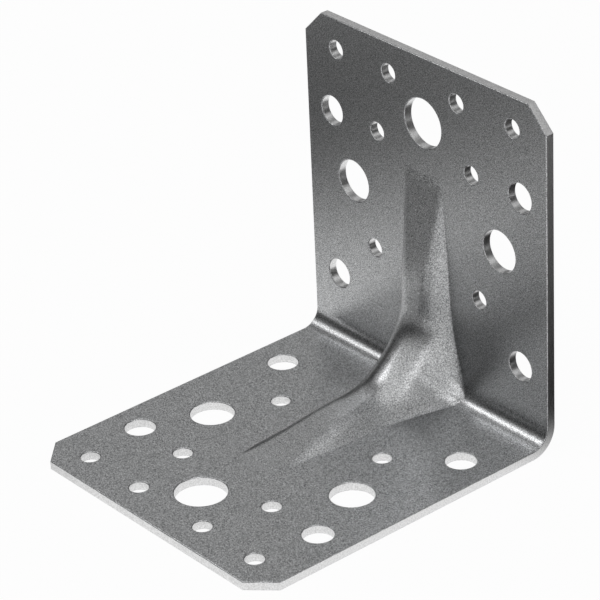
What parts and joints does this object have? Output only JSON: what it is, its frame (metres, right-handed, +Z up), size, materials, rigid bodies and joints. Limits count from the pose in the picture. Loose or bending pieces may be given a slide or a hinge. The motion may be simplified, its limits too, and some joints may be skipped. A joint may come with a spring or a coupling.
{
  "type": "ribbed angle bracket",
  "caption": "Right-angle steel corner brace with a pressed rib across its fold and punched holes in both legs, for joining timbers.",
  "frame": {"origin": "middle of the footprint, on the plane that the flat leg rests on", "axes": "+Z up the upright leg, -Y from the fold out along the flat leg, +X across the width"},
  "size_m": [0.09, 0.099, 0.097],
  "materials": {
    "galvanised_steel": "matt galvanised sheet"
  },
  "bodies": {
    "root": {"bracket": "galvanised_steel"}
  },
  "joints": []
}
